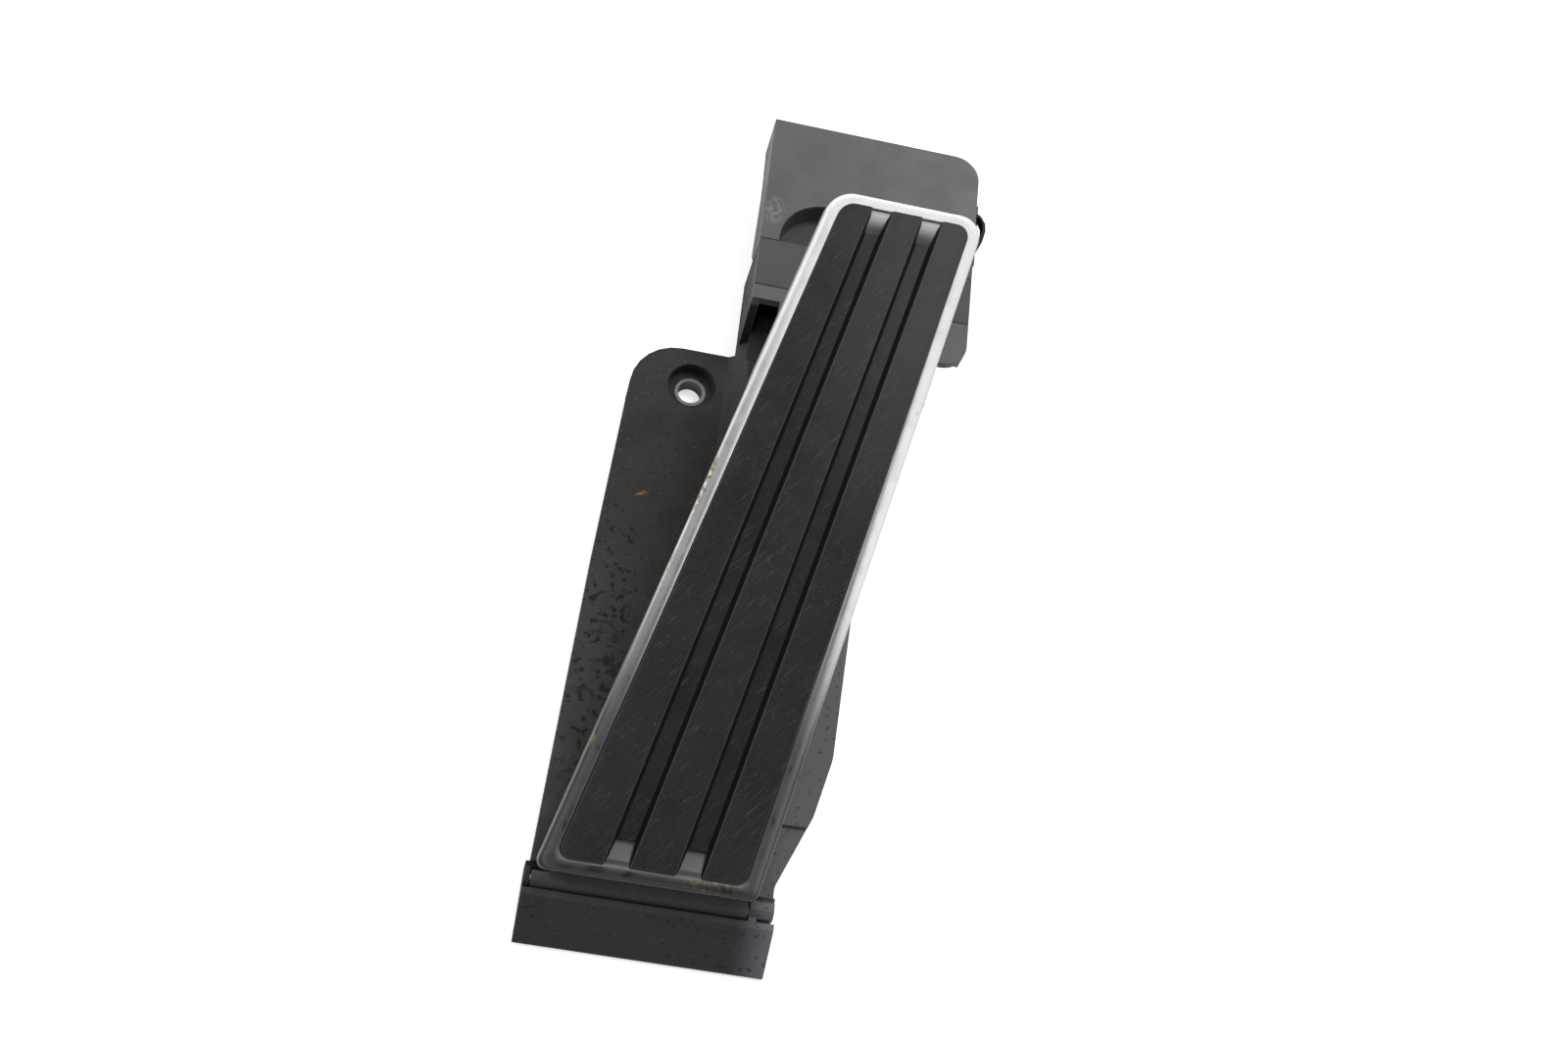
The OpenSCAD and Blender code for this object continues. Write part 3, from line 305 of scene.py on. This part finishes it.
nylon = coloured("carrier_nylon", nylon_black, rough=0.52, shine=0.25)
lay(nylon, nylon_shade, spots(nylon, 26, 0.42, 0.62), share=0.55)
dust_clouds = both(nylon, spots(nylon, 5, 0.5, 0.72, detail=6), beyond(nylon, along, -40, -150))
lay(nylon, road_dust, dust_clouds, share=0.5)
lay(nylon, foot_black, beyond(nylon, along, -150, -155), share=0.85)
# Painted light: the right wing of the flank is laid lighter and bluish, where the light falls on it.
right_wing = both(nylon, beyond(nylon, across, 31, 43), beyond(nylon, along, 0, -30))
lay(nylon, right_wing_painted_light, right_wing, share=0.75)
lay(nylon, pale_specks, spots(nylon, 0.55, 0.68, 0.75, detail=1), share=0.4)
lower_flank = both(nylon, beyond(nylon, along, -35, -90), beyond(nylon, along, -150, -148))
lay(nylon, flank_dust, lower_flank, share=0.5)
flank_spots = both(nylon, spots(nylon, 2.1, 0.6, 0.64, detail=2),
                   patch(nylon, (-16, -80, 9), (13, 60, 9), soft=0.5))
lay(nylon, spot_black, flank_spots, share=0.85)
flank_pools = both(nylon, spots(nylon, 4.2, 0.55, 0.6, detail=5),
                   patch(nylon, (-13, -92, 9), (11, 28, 9), soft=0.8))
lay(nylon, pool_black, flank_pools, share=0.7)
lay(nylon, pit_black, spots(nylon, 1.5, 0.64, 0.67, detail=2), share=0.6)
rust_scratch = both(nylon, patch(nylon, (-9.7, -37.6, 9), (2.6, 0.7, 2), turn=(0, 0, 28)),
                    spots(nylon, 0.7, 0.4, 0.6))
lay(nylon, rust, rust_scratch, share=0.8)
# Painted sheen: the tops of the front roof and of the right block are laid lighter, for the bright room
# they mirror.
front_roof = beyond(nylon, up, 28.7, 29.1)
right_block = both(nylon, beyond(nylon, across, 56, 56.5), beyond(nylon, up, 9.1, 9.3))
lay(nylon, tops_painted_sheen, both(nylon, front_roof, right_block, "MAXIMUM"))
dull(nylon, 0.62, spots(nylon, 9, 0.42, 0.62))
grain(nylon, size=0.4, depth=0.02)
relief(nylon, spots(nylon, 3, 0.35, 0.65), depth=0.03)
dress(nylon, "base_carrier")

# The block at the right front corner has no front wall under its roof, so its walls lean back:
# a wedge is cut out of it, whose back leans from the wedge's foot to its top.
wedge_left, wedge_right, wedge_front = 56.2, 80, 4
wedge_foot, wedge_top = 9.2, 29.3
wedge_back_at_foot, wedge_back_at_top = 23.4, 10.9
bpy.ops.object.select_all(action="DESELECT")
bpy.ops.mesh.primitive_cube_add(size=2)
wedge = bpy.context.object
for vertex in wedge.data.vertices:
    right, back, high = [side > 0 for side in vertex.co]
    wedge_back = wedge_back_at_top if high else wedge_back_at_foot
    vertex.co = (mm * (wedge_right if right else wedge_left), mm * (wedge_back if back else wedge_front),
                 mm * (wedge_top if high else wedge_foot))
eased("base_carrier", "carrier_moulding", "carrier", nylon, radius=0.12, trims=[wedge])

# Bolt sleeves. Two short zinc-plated steel tubes, pressed into the carrier, that take the load of
# the mounting bolts. The screws and the springs' seat have the same plating.
zinc_grey = (0.27, 0.275, 0.27)
zinc_stain = (0.2, 0.19, 0.17)

zinc = coloured("zinc_plate", zinc_grey, rough=0.5, metal=0.75)
lay(zinc, zinc_stain, spots(zinc, 3, 0.45, 0.65), share=0.5)
dull(zinc, 0.5, spots(zinc, 0.6, 0.4, 0.65))
dress(zinc, "flank_sleeve", "housing_sleeve", "cover_screws", "lid_screws", "spring_seat")

# Sensor housing and bridge cover. Two grey plastic mouldings that close over the lever's bearings and the
# sensor. On the housing, painted light makes the top lighter towards the right, and painted shade darkens
# the floor of its round pocket.
housing_grey = (0.103, 0.103, 0.106)
right_painted_light = (0.165, 0.165, 0.175)
housing_shade = (0.08, 0.08, 0.08)
housing_specks = (0.24, 0.235, 0.225)
pale_scrape = (0.25, 0.245, 0.235)
pocket_painted_shade = (0.05, 0.051, 0.052)
bridge_grey = (0.07, 0.07, 0.072)
bridge_shade = (0.06, 0.06, 0.06)
bridge_specks = (0.2, 0.2, 0.19)

grey_plastic = coloured("housing_plastic", housing_grey, rough=0.5, shine=0.25)
# Painted light: the housing is laid lighter towards the right, where the lamps fall.
towards_right = both(grey_plastic, beyond(grey_plastic, across, 25, 75),
                     beyond(grey_plastic, along, 40, 60))
lay(grey_plastic, right_painted_light, towards_right, share=0.5)
lay(grey_plastic, housing_shade, spots(grey_plastic, 14, 0.46, 0.66), share=0.35)
lay(grey_plastic, housing_specks, spots(grey_plastic, 0.5, 0.66, 0.74, detail=1), share=0.35)
scrape = both(grey_plastic, patch(grey_plastic, (15, 51, 32), (4, 6, 3)),
              spots(grey_plastic, 1.4, 0.4, 0.6))
lay(grey_plastic, pale_scrape, scrape, share=0.5)
# Painted shade: the floor of the round pocket is laid darker.
round_pocket = both(grey_plastic, patch(grey_plastic, (31, 41.8, 28), (14.6, 14.6, 60), soft=0.08),
                    beyond(grey_plastic, up, 31.9, 31))
lay(grey_plastic, pocket_painted_shade, round_pocket, share=0.75)
dull(grey_plastic, 0.62, spots(grey_plastic, 7, 0.42, 0.62))
grain(grey_plastic, size=0.35, depth=0.018)
dress(grey_plastic, "sensor_housing")
eased("sensor_housing", "housing_moulding", "carrier", grey_plastic, radius=0.2)

bridge_plastic = coloured("bridge_plastic", bridge_grey, rough=0.52, shine=0.25)
lay(bridge_plastic, bridge_shade, spots(bridge_plastic, 9, 0.45, 0.65), share=0.4)
lay(bridge_plastic, bridge_specks, spots(bridge_plastic, 0.5, 0.66, 0.74, detail=1), share=0.35)
grain(bridge_plastic, size=0.35, depth=0.018)
dress(bridge_plastic, "bridge_cover")
eased("bridge_cover", "bridge_moulding", "carrier", bridge_plastic, radius=0.2)

# Lid, connector and stops. Plain black mouldings and rubber blocks in the carrier.
plain_black = (0.022, 0.022, 0.023)
black_haze = (0.05, 0.05, 0.05)
barrel_painted_light = (0.078, 0.078, 0.082)
rubber_dark = (0.02, 0.02, 0.02)
rubber_haze = (0.06, 0.058, 0.055)

black_plastic = coloured("black_plastic", plain_black, rough=0.45, shine=0.3)
lay(black_plastic, black_haze, spots(black_plastic, 6, 0.45, 0.7), share=0.4)
# Painted light: the hinge barrel at the foot of the plate is laid lighter, for the light on its top.
pad_lip = both(black_plastic, beyond(black_plastic, along, -146, -148), beyond(black_plastic, up, 14, 13))
lay(black_plastic, barrel_painted_light, pad_lip, share=0.9)
dull(black_plastic, 0.6, spots(black_plastic, 4, 0.42, 0.62))
grain(black_plastic, size=0.35, depth=0.015)
dress(black_plastic, "housing_lid", "connector_socket", "latch_loop", "pedal_body", "tray_studs",
      "lever_bushes")
eased("connector_socket", "connector_moulding", "carrier", black_plastic, radius=0.25)
eased("latch_loop", "latch_moulding", "carrier", black_plastic, radius=0.25)

buffer_rubber = coloured("buffer_rubber", rubber_dark, rough=0.75, shine=0.25)
lay(buffer_rubber, rubber_haze, spots(buffer_rubber, 1.5, 0.5, 0.75), share=0.4)
grain(buffer_rubber, size=0.3, depth=0.02, detail=3)
dress(buffer_rubber, "end_stop", "rest_bumper")
end_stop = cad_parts["end_stop"]
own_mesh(end_stop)

# Sensor. A green fibre board with its printed coil, the copper target on the lever's hub and the
# plated terminals.
board_green = (0.02, 0.12, 0.05)
weave_green = (0.05, 0.2, 0.09)
copper_bright = (0.75, 0.36, 0.2)
copper_brown = (0.35, 0.16, 0.09)
tin = (0.75, 0.7, 0.55)

board = coloured("green_board", board_green, rough=0.4)
lay(board, weave_green, spots(board, (0.3, 6, 0.3), 0.5, 0.6), share=0.5)
dress(board, "circuit_board")
copper = coloured("copper", copper_bright, rough=0.3, metal=1.0)
lay(copper, copper_brown, spots(copper, 2, 0.5, 0.7), share=0.5)
dress(copper, "sensor_coil", "sensor_target")
terminal = coloured("tinned_terminal", tin, rough=0.25, metal=1.0)
dull(terminal, 0.45, spots(terminal, 0.8, 0.4, 0.6))
dress(terminal, "connector_terminals")

# Pins, shaft, clip and springs. Bright drawn steel, with a thin film of grease and dust. The two nested
# springs stand on their seat.
drawn_bright = (0.55, 0.55, 0.54)
grease_brown = (0.25, 0.22, 0.18)
spring_seat_height = 0.003

steel = coloured("drawn_steel", drawn_bright, rough=0.28, metal=1.0)
lay(steel, grease_brown, spots(steel, 2.5, 0.5, 0.72), share=0.5)
dull(steel, 0.5, spots(steel, (8, 0.4, 0.4), 0.4, 0.65))
dress(steel, "hinge_pin", "lever_shaft", "shaft_clip", "outer_spring", "inner_spring", "tip_pin")
for spring in (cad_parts["outer_spring"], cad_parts["inner_spring"]):
    length = max(vertex.co.z for vertex in spring.data.vertices) - spring_seat_height
    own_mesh(spring)

# Drive lever. The lever, its rollers, the friction shoe and the hinge's bushes are in natural,
# slightly yellow nylon.
natural_yellow = (0.56, 0.52, 0.43)
natural_shade = (0.38, 0.34, 0.27)

natural_nylon = coloured("natural_nylon", natural_yellow, rough=0.45)
lay(natural_nylon, natural_shade, spots(natural_nylon, 5, 0.45, 0.7), share=0.5)
dull(natural_nylon, 0.6, spots(natural_nylon, 2, 0.4, 0.6))
grain(natural_nylon, size=0.5, depth=0.01, detail=3)
dress(natural_nylon, "drive_lever", "tip_rollers", "friction_shoe", "hinge_bushes")
eased("drive_lever", "lever_moulding", "lever", natural_nylon, radius=0.14)

# Pedal plate. A ribbed black moulding behind the tray, with the track ears and the hinge barrel.
# It is moulded in the same black plastic as the lid.
eased("pedal_body", "plate_moulding", "pedal", black_plastic, radius=0.1)

# Trim tray. A bright tray in polished stainless sheet, drawn with a rounded rim, a dished floor
# and a short skirt. The six studs of the tread hold it to the plate.
pad_foot, pad_slope, pad_length = (0, -152.2, 18.1), 22, 187.3
tray_corners = [(-23, 0), (35.1, 0), (23.7, pad_length), (65.4, pad_length)]
tray_curves = [3.07, 2.04, 5.86, 6.82]
tray_reach = 21
corner_steps = 8
same_height = 0.001
skirt_foot = -6.5
rim_profile = [(0, -1.9), (0.06, -1.52), (0.2, -1.1), (0.42, -0.72), (0.74, -0.44), (1.15, -0.24),
               (1.7, -0.1), (2.4, -0.02), (3.1, 0), (3.6, -0.08), (4.3, -0.4), (5, -0.78), (6, -1.22),
               (8.5, -2.26), (11, -3.06), (12, -3.2)]
sheet_thick = 1
tray_smooth = 35
polish_bright = (0.82, 0.82, 0.82)
polish_haze = (0.6, 0.57, 0.52)
rim_slope_painted_reflection = (0.8, 0.79, 0.77)
dish_painted_shade = (0.085, 0.085, 0.083)
foot_grey = (0.12, 0.12, 0.12)
foot_slope_dark = (0.034, 0.034, 0.034)
foot_dish_grey = (0.115, 0.115, 0.112)
brown_stain = (0.34, 0.22, 0.08)
yellow_grime = (0.5, 0.36, 0.16)
orange_fleck = (0.8, 0.25, 0.04)


def pick(piece, kind, test):
    """Selects, in edit mode, the faces or edges that pass a test of their place."""
    bpy.ops.object.mode_set(mode="EDIT")
    bpy.ops.mesh.select_mode(type=kind)
    bpy.ops.mesh.select_all(action="DESELECT")
    bpy.ops.object.mode_set(mode="OBJECT")
    for part in piece.data.polygons if kind == "FACE" else piece.data.edges:
        part.select = test(part)
    bpy.ops.object.mode_set(mode="EDIT")


def looks_down(face):
    """Whether a face looks down, as the underside of a plate does."""
    return face.normal.z < -0.5


def start_plate(name, corners, foot, top):
    """A four-cornered plate in the pad's frame, from foot to top, in edit mode with its top selected."""
    bpy.ops.object.select_all(action="DESELECT")
    bpy.ops.mesh.primitive_plane_add(size=1)
    plate = bpy.context.object
    plate.name = name
    for vertex, (x, v) in zip(plate.data.vertices, corners):
        vertex.co = (mm * x, mm * v, mm * foot)
    pick(plate, "FACE", lambda face: True)
    bpy.ops.mesh.extrude_region_move(TRANSFORM_OT_translate={"value": (0, 0, mm * (top - foot))})
    return plate


def draw_rings(profile):
    """Draws the selected face in and down through rings of a profile, given as inset and height."""
    for (inset_a, height_a), (inset_b, height_b) in zip(profile, profile[1:]):
        bpy.ops.mesh.inset(thickness=mm * (inset_b - inset_a), depth=mm * (height_b - height_a))


def round_corners(piece, corners, curves, reach):
    """Rounds the upright corners of a plate, from its outline to the rings within reach of them."""
    for (x, v), curve in zip(corners, curves):
        def at_corner(edge):
            ends = [piece.data.vertices[i].co / mm for i in edge.vertices]
            middle = (ends[0] + ends[1]) / 2
            upright = abs(ends[0].z - ends[1].z) > same_height
            return upright and (middle.xy - Vector((x, v))).length < reach
        pick(piece, "EDGE", at_corner)
        bpy.ops.mesh.bevel(offset_type="ABSOLUTE", offset=mm * curve, segments=corner_steps,
                           affect="EDGES", clamp_overlap=False)
    bpy.ops.object.mode_set(mode="OBJECT")


def lay_on_pad(piece, node, material):
    """Sets a piece that was modelled flat on the pad's slope, with its place in its mesh."""
    take(piece)
    piece.location = [mm * a for a in pad_foot]
    piece.rotation_euler = (math.radians(pad_slope), 0, 0)
    bpy.ops.object.transform_apply(location=True, rotation=True, scale=True)
    piece.data.materials.append(material)
    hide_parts(node)
    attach(piece, "pedal")


def on_pad(x, v):
    """A place on the pad in millimetres, from the pad's own frame."""
    angle = math.radians(pad_slope)
    return (x, pad_foot[along] + v * math.cos(angle), pad_foot[up] + v * math.sin(angle))


def above_pad(finish):
    """Millimetres above the rim's top, square to the pad's slope."""
    return distance(finish, up, pad_foot, (pad_slope, 0, 0))


polish = coloured("polished_sheet", polish_bright, rough=0.16, metal=1.0)
lay(polish, polish_haze, spots(polish, 6, 0.5, 0.75), share=0.35)
height = above_pad(polish)
# Painted reflection: the rim's inner slope at the head and the foot is laid white, rougher and less
# metallic, for the bright room it would mirror. Painted shade: the dished floor below it is laid dark.
head_and_foot = both(polish, beyond(polish, along, -45, 9), beyond(polish, along, -85, -120), "MAXIMUM")
slope = both(polish, level(polish, height, -0.08, -0.45), head_and_foot)
lay(polish, rim_slope_painted_reflection, slope)
lay(polish, dish_painted_shade, level(polish, height, -0.5, -2.3), share=0.95)
dull(polish, 0.5, slope)
dull(polish, 0.1, slope, "Metallic")
# At the foot the sheet is laid grey and rougher, for dust and as a painted dark reflection; its slope
# there is laid darker still, and its dish a little lighter.
foot_dust_and_dark_reflection = beyond(polish, along, -70, -122)
lay(polish, foot_grey, foot_dust_and_dark_reflection, share=0.9)
lay(polish, foot_slope_dark, both(polish, foot_dust_and_dark_reflection, slope))
foot_dish = both(polish, foot_dust_and_dark_reflection, level(polish, height, -0.85, -1.0))
lay(polish, foot_dish_grey, foot_dish, share=0.95)
dull(polish, 0.4, foot_dust_and_dark_reflection)
dull(polish, 0.24, spots(polish, 5, 0.45, 0.7))
for x, v, length, share in [(3.4, 105, 13, 0.8), (-3, 80, 8, 0.4), (-14, 36, 5, 0.4)]:
    stain = both(polish, patch(polish, on_pad(x, v), (1.6, length, 5), turn=(pad_slope, 0, -14)),
                 spots(polish, 1.6, 0.42, 0.58))
    lay(polish, brown_stain, stain, share)
    dull(polish, 0.6, stain)
foot_grime = both(polish, patch(polish, on_pad(22, 2.5), (10, 2, 3)), spots(polish, 1.2, 0.5, 0.6))
lay(polish, yellow_grime, foot_grime, share=0.6)
rim_fleck = both(polish, patch(polish, on_pad(56.6, 134), (2, 5, 3), turn=(pad_slope, 0, -11)),
                 spots(polish, 0.7, 0.6, 0.66))
lay(polish, orange_fleck, rim_fleck, share=0.9)
dress(polish, "trim_tray")

tray = start_plate("polished_tray", tray_corners, skirt_foot, rim_profile[0][1])
draw_rings(rim_profile)
pick(tray, "FACE", looks_down)
bpy.ops.mesh.delete(type="FACE")
round_corners(tray, tray_corners, tray_curves, tray_reach)
sheet = tray.modifiers.new("sheet", "SOLIDIFY")
sheet.thickness = mm * sheet_thick
sheet.offset = -1
bpy.ops.object.modifier_apply(modifier=sheet.name)
bpy.ops.object.shade_smooth_by_angle(angle=math.radians(tray_smooth))
lay_on_pad(tray, "trim_tray", polish)

# Tread. A charcoal rubber mat that fills the tray's dished floor, with two long grooves whose
# walls lean out. Open ends of the grooves show the bright tray. Shoes have scuffed it.
tread_corners = [(-17.84, 3.85), (30.92, 3.85), (26.35, 184.3), (61.51, 184.3)]
tread_curves = [4.1, 2.7, 3.6, 4.0]
tread_reach = 16
tread_top = 0.6
tread_under = [(0, 0.05), (2, -0.75), (4.4, -1.7), (7.2, -2.6), (9.2, -3.15)]
groove_depth, wall_lean = 2.1, 1.15
groove_foot, groove_head = (-6.7, 12.2), (34.8, 48.4)
groove_wide = (7.1, 5.9)
groove_run = (2, pad_length - 2)
cutter_over = 1
foot_opening, head_opening = (-3, 10.6), (177.6, 190)
outer_tuck, inner_tuck = 0.2, 0.95
opening_low, opening_high = -5, 3
rubber_charcoal = (0.025, 0.025, 0.026)
rubber_shade = (0.018, 0.018, 0.0185)
sheen_grey = (0.075, 0.075, 0.076)
scuff_grey = (0.085, 0.084, 0.083)
cross_scuff_grey = (0.08, 0.079, 0.078)
trodden_black = (0.016, 0.016, 0.017)
grit = (0.16, 0.155, 0.15)
edge_highlight_grey = (0.07, 0.07, 0.07)
groove_wall_painted_shade = (0.003, 0.003, 0.004)


def along_pad(at_foot, at_head, v):
    """A measure that changes evenly from the pad's foot to its head, at v along it."""
    return at_foot + (at_head - at_foot) * v / pad_length


def groove_cutter(side, ends, tucks, low, high):
    """A long wedge, narrower by each tuck, between two heights as (height, lean)."""
    bpy.ops.object.select_all(action="DESELECT")
    bpy.ops.mesh.primitive_cube_add(size=2)
    cutter = bpy.context.object
    for vertex in cutter.data.vertices:
        v = ends[vertex.co.y > 0]
        height, lean = (low, high)[vertex.co.z > 0]
        tuck = tucks[vertex.co.y > 0] + lean
        left = along_pad(groove_foot[side], groove_head[side], v)
        right = left + along_pad(*groove_wide, v)
        x = right - tuck if vertex.co.x > 0 else left + tuck
        vertex.co = (mm * x, mm * v, mm * height)
    return cutter


rubber = coloured("tread_rubber", rubber_charcoal, rough=0.72, shine=0.25)
lay(rubber, rubber_shade, spots(rubber, 22, 0.42, 0.65), share=0.6)
# Painted sheen: the rubber is laid lighter towards the head and the right, for the bright room it mirrors
# there.
top_right_painted_sheen = both(rubber, beyond(rubber, across, 14, 62), beyond(rubber, along, -80, 0))
lay(rubber, sheen_grey, top_right_painted_sheen, share=0.6)
scuffs = spots(rubber, (0.35, 7, 4), 0.6, 0.72, turn=(pad_slope, 0, -42), detail=2)
lay(rubber, scuff_grey, scuffs, share=0.45)
cross_scuffs = spots(rubber, (0.3, 5, 4), 0.64, 0.74, at=(7, 3, 0), turn=(pad_slope, 0, 35), detail=2)
lay(rubber, cross_scuff_grey, cross_scuffs, share=0.35)
trodden = patch(rubber, on_pad(11, 100), (5, 22, 12), turn=(pad_slope, 0, -14))
lay(rubber, trodden_black, trodden, share=0.5)
lay(rubber, grit, spots(rubber, 0.45, 0.69, 0.75, detail=1), share=0.4)
height = above_pad(rubber)
# The tread's top edges are laid lighter, for wear and as a painted highlight.
top_edge = both(rubber, level(rubber, height, 0.4, 0.5), level(rubber, height, 0.6, 0.58))
lay(rubber, edge_highlight_grey, top_edge, share=0.6)
# Painted shade: the walls of the grooves and the tread's outer edge are laid almost black.
groove_walls = both(rubber, level(rubber, height, 0.42, 0.3), level(rubber, height, -1.49, -1.4))
lay(rubber, groove_wall_painted_shade, groove_walls, share=0.95)
dull(rubber, 0.85, spots(rubber, 8, 0.42, 0.6))
grain(rubber, size=0.3, depth=0.025)
dress(rubber, "tread_rubber")

tread = start_plate("rubber_tread", tread_corners, tread_under[0][1], tread_top)
bpy.ops.mesh.select_all(action="SELECT")
bpy.ops.mesh.normals_make_consistent(inside=False)
pick(tread, "FACE", looks_down)
draw_rings([(inset, -height) for inset, height in tread_under])
round_corners(tread, tread_corners, tread_curves, tread_reach)
groove_floor = (tread_top - groove_depth, wall_lean)
groove_mouth = (tread_top + cutter_over, -wall_lean * cutter_over / groove_depth)
opening_floor, opening_mouth = (opening_low, 0), (opening_high, 0)
for side in (0, 1):
    cut(tread, groove_cutter(side, groove_run, (0, 0), groove_floor, groove_mouth))
    cut(tread, groove_cutter(side, foot_opening, (outer_tuck, inner_tuck), opening_floor, opening_mouth))
    cut(tread, groove_cutter(side, head_opening, (inner_tuck, outer_tuck), opening_floor, opening_mouth))
soften(tread, radius=0.28, steps=3, angle=28, smooth=28)
lay_on_pad(tread, "tread_rubber", rubber)
